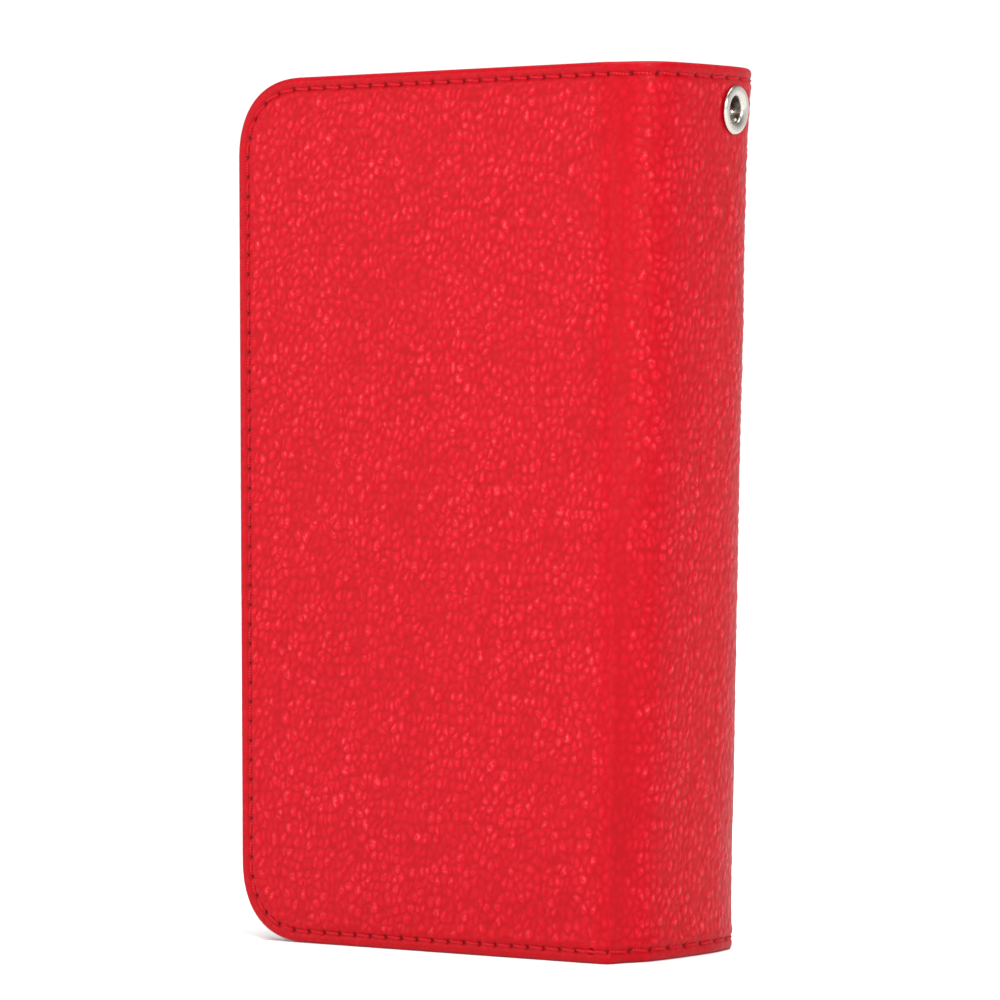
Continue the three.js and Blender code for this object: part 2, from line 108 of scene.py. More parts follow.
# Eyelet
EYELET_Y = -8.6
EYELET_Z = HEIGHT - 8.3
EYELET_BORE = 2.5
EYELET_FLANGE = 4.75

# Folds: how far each side's gives way, in X and Y
FOLD_SOFT = {1: 1.35, -1: 0.3}


def smooth(t):
    t = np.clip(t, 0, 1)
    return t * t * (3 - 2 * t)


def ramp(low, high, value):
    return smooth((value - low) / (high - low))


def bump(centre, width, value):
    return np.exp(-(((value - centre) / width) ** 2))


def corner_reach(radius, angle):
    """A round corner's reach at an angle: a little fuller than a circle in the middle."""
    return radius * (1 + CORNER_FULL * np.sin(2 * angle) ** 2)


def corner_angle(out_x, out_z):
    """How far out past the corner's centre a place is, and its angle round it from the X axis."""
    most = np.maximum(out_x, out_z)
    ratio = np.minimum(out_x, out_z) / np.maximum(most, 1e-9)
    return most, np.where(out_z > out_x, np.pi / 2 - np.pi / 4 * ratio, np.pi / 4 * ratio)


def running(steps):
    """Running length from 0 over steps."""
    return np.concatenate([[0], np.cumsum(steps)])


def noise(u, v, scale, seed):
    """Soft random values from -1 to 1 whose humps are about scale apart."""
    table = np.random.default_rng(seed).uniform(-1, 1, (256, 256))
    a, b = u / scale, v / scale
    i, j = np.floor(a).astype(int), np.floor(b).astype(int)
    s, t = smooth(a - i), smooth(b - j)

    def at(di, dj):
        return table[(i + di) % 256, (j + dj) % 256]

    low = at(0, 0) * (1 - s) + at(1, 0) * s
    high = at(0, 1) * (1 - s) + at(1, 1) * s
    return low * (1 - t) + high * t


def pebbles(u, v, pitch, seed):
    """Height from 0 to 1 of litchi grain: rounded cells with narrow valleys between them."""
    u = u + 0.3 * pitch * noise(u, v, 2.3 * pitch, seed + 1)
    v = v + 0.3 * pitch * noise(u, v, 2.3 * pitch, seed + 2)
    random = np.random.default_rng(seed).uniform(0, 1, (3, 256, 256))
    a, b = u / pitch, v / (1.3 * pitch)
    i, j = np.floor(a).astype(int), np.floor(b).astype(int)
    near = np.full(u.shape, 9.0)
    second = np.full(u.shape, 9.0)
    size = np.zeros(u.shape)
    for di in range(-2, 3):
        for dj in range(-2, 3):
            row, column = (j + dj) % 256, (i + di) % 256
            x = i + di + 0.92 * random[0][column, row]
            y = j + dj + 0.92 * random[1][column, row]
            gap = np.hypot(a - x, b - y)
            closer = gap < near
            second = np.where(closer, near, np.minimum(second, gap))
            size = np.where(closer, random[2][column, row], size)
            near = np.where(closer, gap, near)
    wall = 1 - np.exp(-(((second - near) / 0.46) ** 1.2))
    rough = 0.14 * noise(u, v, 0.42 * pitch, seed + 7)
    return wall * (0.38 + 0.62 * size) * (1 - 1.05 * near**2) + rough


def linked(name, data):
    made = bpy.data.objects.new(name, data)
    bpy.context.scene.collection.objects.link(made)
    return made


def make_mesh(name, points, faces, uv=None, values=None):
    """A smooth-shaded object from points in millimetres. uv and values hold one entry per point."""
    mesh = bpy.data.meshes.new(name)
    points = np.asarray(points, float).reshape(-1, 3)
    faces = np.asarray(faces, int)
    corners = faces.shape[1]
    mesh.vertices.add(len(points))
    mesh.vertices.foreach_set("co", (points * MM).ravel())
    mesh.loops.add(faces.size)
    mesh.loops.foreach_set("vertex_index", faces.ravel())
    mesh.polygons.add(len(faces))
    mesh.polygons.foreach_set("loop_start", np.arange(0, faces.size, corners))
    mesh.polygons.foreach_set("loop_total", np.full(len(faces), corners))
    mesh.update(calc_edges=True)
    if uv is not None:
        layer = mesh.uv_layers.new(name="length")
        flat = np.asarray(uv, float).reshape(-1, 2)[faces.ravel()] * UV_PER_MM
        layer.data.foreach_set("uv", flat.ravel())
    for key, value in (values or {}).items():
        attribute = mesh.attributes.new(key, "FLOAT", "POINT")
        attribute.data.foreach_set("value", np.asarray(value, np.float32).ravel())
    mesh.validate()
    mesh.shade_smooth()
    return linked(name, mesh)


def grid_faces(rows, columns, flip=False):
    index = np.arange(rows * columns).reshape(rows, columns)
    corners = [index[:-1, :-1], index[:-1, 1:], index[1:, 1:], index[1:, :-1]]
    faces = np.stack(corners, -1).reshape(-1, 4)
    return faces[:, ::-1] if flip else faces


def flare(size, reach, distance):
    return size * np.exp(-((np.maximum(distance, 0) / reach) ** 1.5))


def spine_section(z):
    """The spine's outer face at height z, a superellipse: its fold's X, how far it bellies out from
    there, and its power."""
    t = z / HEIGHT
    along = lambda pair: pair[0] + (pair[1] - pair[0]) * t
    mouths = flare(*FLARE_TOP, HEIGHT - z) + flare(*FLARE_BOTTOM, z)
    return along(FOLD_X), along(BELLY) + BELLY_SWELL * t * (1 - t) + mouths, along(SQUARENESS)


def fold_shift(distance, side):
    """How far a soft fold gives way, in both X and Y, at a distance past its fold line."""
    peak = -3.5
    width = np.where(np.asarray(distance) > peak, 3.5, 5.0)
    return FOLD_SOFT[side] * bump(peak, width, distance)


SAMPLES = 360


def spine_curve(z, side, half=HALF_DEPTH, inward=0.0):
    """Points from the spine's middle to its fold for each height in z, and their running length:
    (x, y, s) with one row per height."""
    angle = (np.pi / 2) * (1 - np.linspace(0, 1, SAMPLES))[None, :]
    fold_x, belly, power = (a[:, None] for a in spine_section(np.asarray(z, float)))
    x = fold_x + inward / 2 - (belly - inward / 2) * np.sin(angle) ** (2 / power)
    y = half * np.cos(angle) ** (2 / power)
    y[:, 0] = 0
    s = np.concatenate([np.zeros((len(x), 1)), np.cumsum(np.hypot(np.diff(x), np.diff(y)), 1)], 1)
    shift = fold_shift(s - s[:, -1:], side)
    return x + shift, y - shift * ramp(0, 6, s), s


def edge_lines(reach, step, fine_step):
    """Lines from a corner's centre out over the rolled edge: run so far, inset from the edge and
    depth under the face."""
    margin = 5
    face = np.arange(0, reach - margin, step)
    border = np.arange(reach - margin, reach - ROLL_OUT, fine_step)
    inset = list(reach - face) + list(reach - border)
    depth = [0.0] * len(inset)
    for angle in np.linspace(0, np.pi / 2, 8):
        inset.append(ROLL_OUT * (1 - math.sin(angle)))
        depth.append(ROLL_OUT * (1 - math.cos(angle)))
    for share in (0.33, 0.66):
        inset.append(0.0)
        depth.append(ROLL_OUT + share * (COVER_THICK - ROLL_OUT - ROLL_IN))
    for angle in np.linspace(0, np.pi / 2, 5):
        inset.append(ROLL_IN * (1 - math.cos(angle)))
        depth.append(COVER_THICK - ROLL_IN * (1 - math.sin(angle)))
    for share in (0.4, 1.0):
        inset.append(ROLL_IN + share * (TURN_IN - ROLL_IN))
        depth.append(COVER_THICK)
    inset, depth = np.array(inset), np.array(depth)
    return running(np.hypot(np.diff(inset), np.diff(depth))), inset, depth


class CoverGrid:
    """A sheet that runs from the spine's middle over the fold, across a panel and round its three
    outer edges. lines come from edge_lines, and radius is the sheet's corner radius."""

    def __init__(self, side, step, lines, radius=CORNER_R, half=HALF_DEPTH, inward=0.0):
        run, inset, depth = lines
        self.side = side
        low, high = CORNER_R, HEIGHT - CORNER_R
        middle = np.linspace(low, high, int((high - low) / step))[1:-1]
        ends, none = np.ones(len(run)), np.zeros(len(middle))
        base = np.concatenate([low * ends, middle, high * ends])
        sign = np.concatenate([-ends, none, ends])
        z_run = np.concatenate([run[::-1], none, run])
        straight = base + sign * (radius - np.interp(z_run, run, inset))
        rows = len(straight)

        curve_x, curve_y, curve_s = spine_curve(straight, side, half, inward)
        length = curve_s[:, -1:]
        fold_x = curve_x[:, -1:] - fold_shift(0, side)
        spine_columns = int(24 / step)
        share = np.linspace(0, 1, spine_columns)
        s = length * share[None, :]
        x = np.stack([np.interp(s[k], curve_s[k], curve_x[k]) for k in range(rows)])
        y = np.stack([np.interp(s[k], curve_s[k], curve_y[k]) for k in range(rows)])

        x_base = FREE_X - CORNER_R
        panel = np.linspace(0, 1, int((x_base - fold_x.mean()) / step))[None, 1:-1]
        panel_x = fold_x + panel * (x_base - fold_x)
        x_run = np.concatenate([np.zeros(spine_columns + panel.shape[1]), run])
        edge_x = np.broadcast_to(x_base + radius - inset[None, :], (rows, len(run)))
        x = np.concatenate([x, panel_x, edge_x], 1)
        y = np.concatenate([y, np.full((rows, panel.shape[1] + len(run)), half)], 1)
        z = np.repeat(straight[:, None], x.shape[1], 1)

        x_run, z_run, sign, base = x_run[None, :], z_run[:, None], sign[:, None], base[:, None]
        most, angle = corner_angle(x_run, z_run)
        corner = (x_run > 0) & (z_run > 0)
        reach = corner_reach(radius - np.interp(most, run, inset), angle)
        x = np.where(corner, x_base + reach * np.cos(angle), x)
        z = np.where(corner, base + sign * reach * np.sin(angle), z)

        self.inset = np.interp(most, run, inset)
        depth_here = np.interp(most, run, depth)
        from_fold = np.concatenate([s - length, x[:, spine_columns:] - fold_x], 1)
        shift = fold_shift(from_fold[:, spine_columns:], side)
        x[:, spine_columns:] += shift
        y[:, spine_columns:] -= shift
        thin = CREASE_EDGE[side]
        thick = np.where(
            from_fold < 0,
            thin + (SPINE_EDGE - thin) * ramp(2, 6, -from_fold),
            thin + (COVER_THICK - thin) * ramp(1, 5, from_fold),
        )
        toward_x = np.where(x_run > 0, np.cos(angle), 0)
        toward_z = sign * np.where(z_run > 0, np.sin(angle), 0)
        self.depth = depth_here * thick / COVER_THICK
        self.run_depth = np.where(depth_here > 0, depth_here, -FAR)
        self.free_edge = toward_x**2
        self.from_fold = from_fold
        self.u = length + from_fold + depth_here * toward_x
        self.v = z + depth_here * toward_z

        tangent_x, tangent_y = np.gradient(x, axis=1), np.gradient(y, axis=1)
        flat = from_fold > 16
        normal_x = np.where(flat, 0, -tangent_y)
        normal_y = np.where(flat, 1, tangent_x)
        size = np.hypot(normal_x, normal_y)
        self.normal = np.stack([normal_x / size, normal_y / size, np.zeros_like(size)], -1)
        outward = np.stack(np.broadcast_arrays(toward_x, 0.0, toward_z), -1)
        turn = np.clip(np.interp(most, run, np.gradient(depth, run)), 0, 1)[..., None]
        self.face_normal = self.normal * (1 - turn) + outward * turn
        self.point = np.stack([x, y, z], -1) - self.normal * self.depth[..., None]

    def mirrored(self, array):
        made = array.copy()
        if self.side < 0:
            made[..., 1] *= -1
        return made


class SeamPath:
    """The stitch line of one cover, walked from the spine's middle along the bottom, up the free
    edge and back along the top."""

    def __init__(self, side):
        self.side = side
        self.low = [a[0] for a in spine_curve([SEAM_INSET], side)]
        self.high = [a[0] for a in spine_curve([HEIGHT - SEAM_INSET], side)]
        self.low_fold = self.low[0][-1] - fold_shift(0, side)
        high_fold = self.high[0][-1] - fold_shift(0, side)
        radius = CORNER_R - SEAM_INSET
        bend = radius * np.pi / 2
        x_base = FREE_X - CORNER_R
        self.legs = [
            self.low[2][-1],
            x_base - self.low_fold,
            bend,
            HEIGHT - 2 * CORNER_R,
            bend,
            x_base - high_fold,
            self.high[2][-1],
        ]
        self.ends = np.cumsum(self.legs)
        self.radius, self.x_base = radius, x_base

    def holes(self):
        """Where the needle went through, as distances walked."""
        spine_low, panel_end, last = self.ends[0], self.ends[5], self.ends[6]
        low = np.linspace(0, spine_low, max(2, round(spine_low / SPINE_PITCH) + 1))
        panel = np.linspace(spine_low, panel_end, round((panel_end - spine_low) / PANEL_PITCH) + 1)
        high = np.linspace(panel_end, last, max(2, round((last - panel_end) / SPINE_PITCH) + 1))
        return np.concatenate([low[:-1], panel[:-1], high])

    def leg(self, walked):
        """The leg's number and how far along it a distance walked is."""
        leg = min(int(np.searchsorted(self.ends, walked)), 6)
        return leg, walked - (self.ends[leg - 1] if leg else 0)

    def place(self, walked):
        """(u, v) on the sheet and the point there."""
        walked = min(max(walked, 0.0), self.ends[-1])
        leg, along = self.leg(walked)
        z = SEAM_INSET if leg < 2 else HEIGHT - SEAM_INSET
        if leg in (0, 6):
            curve_x, curve_y, curve_s = self.low if leg == 0 else self.high
            s = along if leg == 0 else self.legs[6] - along
            x, y = np.interp(s, curve_s, curve_x), np.interp(s, curve_s, curve_y)
            return (s, z), np.array([x, y, z])
        low, high = CORNER_R, HEIGHT - CORNER_R
        turn = along / self.radius
        reach = corner_reach(self.radius, turn)
        if leg == 1:
            x = self.low_fold + along
        elif leg == 2:
            x, z = self.x_base + reach * math.sin(turn), low - reach * math.cos(turn)
        elif leg == 3:
            x, z = FREE_X - SEAM_INSET, low + along
        elif leg == 4:
            x, z = self.x_base + reach * math.cos(turn), high + reach * math.sin(turn)
        else:
            x = self.x_base - along
        curve_x, _, curve_s = (a[0] for a in spine_curve([z], self.side))
        past = x - (curve_x[-1] - fold_shift(0, self.side))
        shift = fold_shift(past, self.side)
        return (curve_s[-1] + past, z), np.array([x + shift, HALF_DEPTH - shift, z])

    def at(self, walked):
        """(u, v) on the sheet, the point and the outward normal there."""
        uv, point = self.place(walked)
        leg = self.leg(walked)[0]
        if 2 <= leg <= 4:
            return uv, point, np.array([0.0, 1.0, 0.0])
        way = 1 if leg < 2 else -1
        dx, dy, _ = (self.place(walked + 0.15)[1] - self.place(walked - 0.15)[1]) * way
        size = max(math.hypot(dx, dy), 1e-9)
        return uv, point, np.array([-dy / size, dx / size, 0.0])


def hole_distance(u, v, seam):
    """Distance from each place on the sheet to its nearest needle hole."""
    nearest = np.full(u.shape, FAR)
    for walked in seam.holes():
        hole_u, hole_v = seam.at(walked)[0]
        nearest = np.minimum(nearest, np.hypot(u - hole_u, v - hole_v))
    return nearest


def eyelet_frame():
    """The eyelet's centre on the leather and its axis, pointing out."""
    reach = EYELET_FLANGE
    x, y, _ = spine_curve([EYELET_Z - reach, EYELET_Z, EYELET_Z + reach], -1)
    depth = abs(EYELET_Y)

    def at(row, y_here):
        return np.interp(y_here, y[row], x[row])

    slope_y = -(at(1, depth + reach) - at(1, depth - reach)) / (2 * reach)
    slope_z = (at(2, depth) - at(0, depth)) / (2 * reach)
    centre = Vector((at(1, depth), EYELET_Y, EYELET_Z))
    return centre, Vector((-1, slope_y, slope_z)).normalized()


EYELET_CENTRE, EYELET_AXIS = eyelet_frame()


def from_bore(point):
    """Distance from each point to the eyelet's axis, and whether it is on the spine."""
    away = point - np.array(EYELET_CENTRE)
    axis = np.array(EYELET_AXIS)
    return np.linalg.norm(away - (away @ axis)[..., None] * axis, axis=-1), point[..., 0] < -40


def cover_skin(name, side, step, seed=11):
    """One cover's leather with its grain, seam channel and needle holes, and the seam's path."""
    grid = CoverGrid(side, step, edge_lines(CORNER_R, step, 0.24))
    u, v, inset = side * grid.u, grid.v, grid.inset
    seam = SeamPath(side)
    on_face = 1 - ramp(0.05, 0.6, grid.depth)
    bend = bump(-2.2, 3.0, grid.from_fold)
    grain = pebbles(u, v, PEBBLE, seed)
    soft = 0.92 + 0.12 * noise(u, v, 14, seed + 3)
    inside = 0.3 + 0.7 * ramp(SEAM_INSET + 0.3, SEAM_INSET + 1.9, inset)
    strength = inside * (1 - 0.62 * bend) * soft
    height = PEBBLE_HIGH * grain * strength
    height += on_face * 0.09 * noise(u, v, 17, seed + 4) * ramp(2.5, 9, inset)
    on_spine = ramp(0, 5, -grid.from_fold)
    height += 0.07 * on_spine * noise(u, v / 3, 6, seed + 5) * ramp(2.5, 6, inset)
    groove = bump(SEAM_INSET, GROOVE_WIDE, inset) * on_face
    height -= GROOVE_DEEP * groove
    height += on_face * (0.1 * bump(SEAM_INSET + 1.5, 0.8, inset) + 0.06 * bump(1.2, 0.6, inset))
    margin = inset < 5
    hole = np.full(u.shape, FAR)
    hole[margin] = hole_distance(grid.u[margin], v[margin], seam)
    pit = bump(0, HOLE_WIDE, hole) * on_face
    height -= HOLE_DEEP * pit
    rolled = bump(COVER_THICK / 2, COVER_THICK / 2, grid.run_depth) * grid.free_edge
    height = height * (0.15 + 0.85 * on_face) + EDGE_PROUD * rolled

    point = grid.mirrored(grid.point)
    normal = grid.mirrored(grid.face_normal)
    rows, columns = u.shape
    faces = grid_faces(rows, columns, flip=side > 0)
    if side < 0:
        radial, near = from_bore(point)
        pressed = (1 - ramp(EYELET_FLANGE - 0.3, EYELET_FLANGE + 2.2, radial)) * near
        height = height * (1 - pressed) - 0.15 * pressed
        open_bore = (radial < EYELET_BORE + 0.8) & near
        faces = faces[~open_bore.ravel()[faces].any(1)]
    point = point + normal * height[..., None]
    # relief drives the leather's painted shade in the valleys and painted highlights on the tops; pit drives
    # painted shade in the seam's groove and the needle holes.
    values = {"relief": grain * strength, "pit": np.clip(0.15 * groove + 0.95 * pit, 0, 1)}
    return make_mesh(name, point, faces, np.stack([u, v], -1), values), seam


STRAND_RINGS = 9
STRAND_SIDES = 8


def strand_faces(base):
    """Quads of one closed strand whose points start at base."""
    faces = []
    for k in range(STRAND_RINGS - 1):
        for c in range(STRAND_SIDES):
            n = (c + 1) % STRAND_SIDES
            low, high = base + k * STRAND_SIDES, base + (k + 1) * STRAND_SIDES
            faces.append((low + c, low + n, high + n, high + c))
    for ring in (0, STRAND_RINGS - 1):
        start = base + ring * STRAND_SIDES
        for c in range(1, STRAND_SIDES - 2, 2):
            faces.append((start, start + c, start + c + 1, start + c + 2))
    return faces


def stitch_run(name, side, path, pairs, lean=0.17):
    """Thread from hole to hole: short rolled strands that dip at both ends. path gives a point and
    its normal at a distance walked, and pairs hold (from, to, lift, thickness)."""
    points, faces, uv = [], [], []
    for start, end, lift, thicker in pairs:
        faces += strand_faces(len(points))
        for k in range(STRAND_RINGS):
            t = k / (STRAND_RINGS - 1)
            walked = start + (end - start) * (0.06 + 0.88 * t)
            place, up = path(walked)
            ahead = path(walked + 0.1)[0] - path(walked - 0.1)[0]
            ahead /= np.linalg.norm(ahead)
            across = np.cross(ahead, up)
            arch = math.sin(math.pi * t)
            place = place + up * (-0.52 + 0.42 * arch**0.6 + lift) + across * lean * (2 * t - 1)
            radius = THREAD_R * thicker * (0.55 + 0.45 * arch**0.35)
            for c in range(STRAND_SIDES):
                turn = 2 * math.pi * c / STRAND_SIDES
                spoke = math.cos(turn) * across * 1.12 + math.sin(turn) * up * 0.85
                points.append(place + radius * spoke)
                uv.append((k * 0.4, c / STRAND_SIDES))
    points = np.array(points)
    if side < 0:
        points[:, 1] *= -1
        faces = [f[::-1] for f in faces]
    return make_mesh(name, points, faces, np.array(uv))


def cover_stitches(name, side, seam):
    holes = seam.holes()
    pairs = [(a, b, 0.0, 1.0) for a, b in zip(holes[:-1], holes[1:])]
    if side > 0:
        tack = seam.ends[0] + BACK_TACK_X - seam.low_fold
        pairs += [(tack - 2.8, tack + 0.6, 0.16, 1.1), (tack - 0.4, tack + 2.9, 0.12, 1.1)]
    return stitch_run(name, side, lambda walked: seam.at(walked)[1:], pairs)


# Materials
class Look:
    """A material's node tree with short helpers."""

    def __init__(self, name):
        self.material = bpy.data.materials.new(name)
        self.material.use_nodes = True
        self.nodes = self.material.node_tree.nodes
        self.links = self.material.node_tree.links
        self.shader = self.nodes["Principled BSDF"]

    def node(self, kind, links=None, **settings):
        made = self.nodes.new("ShaderNode" + kind)
        for key, value in settings.items():
            setattr(made, key, value)
        for socket, value in (links or {}).items():
            self.put(made.inputs[socket], value)
        return made

    def put(self, socket, value):
        if isinstance(value, bpy.types.NodeSocket):
            self.links.new(value, socket)
        else:
            socket.default_value = value

    def set(self, **sockets):
        for key, value in sockets.items():
            self.put(self.shader.inputs[key.replace("_", " ")], value)
        return self

    def uv(self):
        return self.node("UVMap", uv_map="length").outputs["UV"]

    def object_place(self):
        return self.node("TexCoord").outputs["Object"]

    def value(self, name):
        return self.node("Attribute", attribute_name=name, attribute_type="GEOMETRY").outputs["Fac"]

    def noise(self, place, scale, detail=3.0, roughness=0.55):
        links = {"Vector": place, "Scale": scale, "Detail": detail, "Roughness": roughness}
        return self.node("TexNoise", links).outputs["Fac"]

    def cells(self, place, scale, feature):
        links = {"Vector": place, "Scale": scale}
        return self.node("TexVoronoi", links, feature=feature).outputs["Distance"]

    def waves(self, place, scale, distortion=0.0, **settings):
        links = {"Vector": place, "Scale": scale, "Distortion": distortion}
        return self.node("TexWave", links, wave_type="BANDS", **settings).outputs

    def spread(self, value, low, high, to_low, to_high):
        """Maps a value's range from low..high to to_low..to_high."""
        links = {"Value": value, "From Min": low, "From Max": high, "To Min": to_low, "To Max": to_high}
        return self.node("MapRange", links).outputs["Result"]

    def blend(self, share, first, second):
        made = self.node("Mix", data_type="RGBA")
        self.put(made.inputs["Factor"], share)
        self.put(made.inputs[6], first)
        self.put(made.inputs[7], second)
        return made.outputs[2]

    def relief(self, height, distance, strength=1.0, under=None):
        links = {"Height": height, "Distance": distance, "Strength": strength}
        if under is not None:
            links["Normal"] = under
        return self.node("Bump", links).outputs["Normal"]


def rgb(red, green, blue):
    return (red, green, blue, 1.0)


def leather_look():
    """Pebbled PU leather: painted shade in the valleys, the seam's groove and the needle holes, painted pink
    highlights on some pebble tops, and finer creases on the pebbles.
    """
    look = Look("leather_red")
    place = look.uv()
    relief = look.value("relief")
    pit = look.value("pit")
    patches = look.noise(place, 6.0)
    # Painted shade: the valleys between pebbles get a darker red than the tops.
    valley = look.spread(relief, 0.0, 0.45, 0.0, 1.0)
    colour = look.blend(valley, rgb(0.32, 0.0004, 0.0040), rgb(0.465, 0.0026, 0.0115))
    # Painted highlight: noise picks some pebble tops, and their colour turns pink as if lamps glinted on
    # them.
    highlight_scatter = look.spread(look.noise(place, 110.0, 1.0), 0.42, 0.66, 0.0, 1.0)
    high = look.spread(relief, 0.34, 0.72, 0.0, 1.0)
    painted_highlight = look.node("Math", {0: highlight_scatter, 1: high}, operation="MULTIPLY").outputs[0]
    colour = look.blend(painted_highlight, colour, rgb(0.60, 0.040, 0.058))
    shade = look.spread(patches, 0.3, 0.7, 0.0, 0.35)
    colour = look.blend(shade, colour, rgb(0.40, 0.0014, 0.0080))
    # Painted shade: near-black red in the seam's groove and the needle holes.
    colour = look.blend(pit, colour, rgb(0.09, 0.0006, 0.0020))
    creases = look.cells(place, 210.0, "DISTANCE_TO_EDGE")
    grain = look.noise(place, 700.0, 2.0)
    fine = look.relief(creases, 0.0001, 0.6)
    fine = look.relief(grain, 0.00003, 0.5, fine)
    rough = look.spread(relief, 0.0, 0.7, 0.46, 0.2)
    look.set(Base_Color=colour, Roughness=rough, Normal=fine, Specular_IOR_Level=0.1)
    return look.material


def thread_look():
    """Twisted polyester thread in the leather's red."""
    look = Look("thread_red")
    place = look.uv()
    wave = look.waves(place, 60.0, 0.5)["Fac"]
    colour = look.blend(wave, rgb(0.30, 0.001, 0.005), rgb(0.50, 0.004, 0.013))
    look.set(Base_Color=colour, Roughness=look.spread(wave, 0, 1, 0.7, 0.5))
    look.set(Normal=look.relief(wave, 0.00005, 0.6), Specular_IOR_Level=0.15)
    return look.material


def metal_look(name, colour, rough_low, rough_high, brushed=180.0):
    """Plated or plain metal, faintly streaked and worn."""
    look = Look(name)
    place = look.object_place()
    streaks = look.noise(place, brushed, 4.0)
    wear = look.noise(place, brushed * 8, 2.0)
    tone = look.blend(streaks, rgb(*(c * 0.9 for c in colour)), rgb(*colour))
    look.set(Base_Color=tone, Roughness=look.spread(wear, 0.3, 0.7, rough_low, rough_high))
    look.set(Metallic=1.0, Normal=look.relief(wear, 0.00001, 0.25))
    return look.material


def cloth_look(name, dark, light, thread_scale=1400.0):
    """Short-napped microfibre or woven cloth."""
    look = Look(name)
    place = look.object_place()
    nap = look.noise(place, thread_scale, 3.0)
    patch = look.noise(place, 60.0)
    tone = look.blend(nap, rgb(*dark), rgb(*light))
    tone = look.blend(look.spread(patch, 0.35, 0.65, 0, 0.3), tone, rgb(*dark))
    look.set(Base_Color=tone, Roughness=look.spread(nap, 0.2, 0.8, 0.98, 0.82))
    look.set(Normal=look.relief(nap, 0.00012, 0.7), Specular_IOR_Level=0.1)
    look.set(Sheen_Weight=0.1, Sheen_Roughness=0.4)
    return look.material


def plastic_look(name, colour, rough):
    """Moulded plastic with a fine spark texture."""
    look = Look(name)
    place = look.object_place()
    spark = look.noise(place, 2600.0, 2.0)
    patch = look.noise(place, 40.0)
    tone = look.blend(patch, rgb(*(c * 0.8 for c in colour)), rgb(*(c * 1.15 for c in colour)))
    look.set(Base_Color=tone, Roughness=look.spread(spark, 0.3, 0.7, rough - 0.06, rough + 0.08))
    look.set(Normal=look.relief(spark, 0.00002, 0.5))
    return look.material


def pale_look(name, tone):
    """The matt studio floor."""
    look = Look(name)
    spots = look.noise(look.object_place(), 3.0)
    low = rgb(tone - 0.01, tone - 0.01, tone - 0.01)
    look.set(Base_Color=look.blend(spots, low, rgb(tone, tone, tone)))
    look.set(Roughness=0.9, Specular_IOR_Level=0.1)
    return look.material


def film_look():
    """Clear vinyl with a faint haze and fine scratches."""
    look = Look("clear_vinyl")
    place = look.object_place()
    haze = look.noise(place, 90.0)
    scratches = look.noise(place, 1500.0, 2.0)
    look.set(Base_Color=look.blend(haze, rgb(0.93, 0.95, 0.96), rgb(0.98, 0.99, 1.0)))
    look.set(Roughness=look.spread(scratches, 0.35, 0.65, 0.05, 0.13))
    look.set(Normal=look.relief(haze, 0.0001, 0.3), IOR=1.46, Transmission_Weight=1.0)
    return look.material


def tape_look():
    """Woven zip tape: a fine herringbone of red polyester."""
    look = Look("zip_tape")
    place = look.object_place()
    rows = look.waves(place, 420.0, bands_direction="Z")
    slants = look.waves(place, 330.0, 1.5, bands_direction="DIAGONAL")
    weave = look.blend(slants["Fac"], rgb(0, 0, 0), rows["Color"])
    tone = look.blend(slants["Fac"], rgb(0.20, 0.003, 0.008), rgb(0.40, 0.008, 0.018))
    look.set(Base_Color=tone, Roughness=look.spread(rows["Fac"], 0, 1, 0.92, 0.78))
    look.set(Normal=look.relief(weave, 0.00014, 0.7), Sheen_Weight=0.2)
    return look.material


LEATHER = leather_look()
THREAD = thread_look()
NICKEL = metal_look("nickel", (0.56, 0.53, 0.48), 0.2, 0.3)
STEEL = metal_look("steel", (0.45, 0.46, 0.48), 0.32, 0.45)
MAGNET = metal_look("magnet", (0.35, 0.36, 0.38), 0.3, 0.4)
LINING = cloth_look("lining_microfibre", (0.20, 0.003, 0.009), (0.34, 0.006, 0.016))
FELT = cloth_look("shell_felt", (0.012, 0.012, 0.013), (0.035, 0.035, 0.038))
TAPE = tape_look()
FILM = film_look()
BOARD = cloth_look("board_dyed", (0.26, 0.006, 0.012), (0.36, 0.010, 0.020), 500.0)
SHELL_PLASTIC = plastic_look("shell_plastic", (0.012, 0.012, 0.013), 0.48)


def paint(made, material):
    made.data.materials.clear()
    made.data.materials.append(material)
    return made


def metres(*point):
    return tuple(c * MM for c in point)


def over_fold(piece, side):
    """Bakes a piece's transform into its mesh."""
    if side > 0:
        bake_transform(piece)
    else:
        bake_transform(piece)


# Outer leather and its stitches
for side, name in SIDES:
    skin, seam = cover_skin(f"{name}_cover_skin", side, FINE if side > 0 else COARSE)
    paint(skin, LEATHER)
    thread = paint(cover_stitches(f"{name}_stitches", side, seam), THREAD)
    over_fold(skin, side)
    over_fold(thread, side)
    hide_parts(f"{name}_leather", "spine_leather")
    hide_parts(f"{name}_thread", "spine_thread_top", "spine_thread_bottom")


def eyelet_piece(name, profile, node, steps=96):
    """A nickel ring on the eyelet's axis: profile holds (radius, height) pairs, closed on itself."""
    radius, height = np.array(profile, float).T
    angles = np.linspace(0, 2 * np.pi, steps, endpoint=False)[:, None]
    flat = np.broadcast_arrays(radius * np.cos(angles), radius * np.sin(angles), height)
    spin = np.array(Vector((0, 0, 1)).rotation_difference(EYELET_AXIS).to_matrix())
    points = np.stack(flat, -1) @ spin.T + np.array(EYELET_CENTRE)
    index = np.arange(steps * len(radius)).reshape(steps, len(radius))
    ahead = np.roll(index, -1, 0)
    faces = np.stack([index, ahead, np.roll(ahead, -1, 1), np.roll(index, -1, 1)], -1).reshape(-1, 4)
    made = paint(make_mesh(name, points, faces), NICKEL)
    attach(made, "spine")
    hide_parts(node)


def arc(centre, radius, start, end, count):
    """Points round an arc in a profile, angles in degrees."""
    angles = np.radians(np.linspace(start, end, count))
    return [(centre[0] + radius * math.cos(a), centre[1] + radius * math.sin(a)) for a in angles]


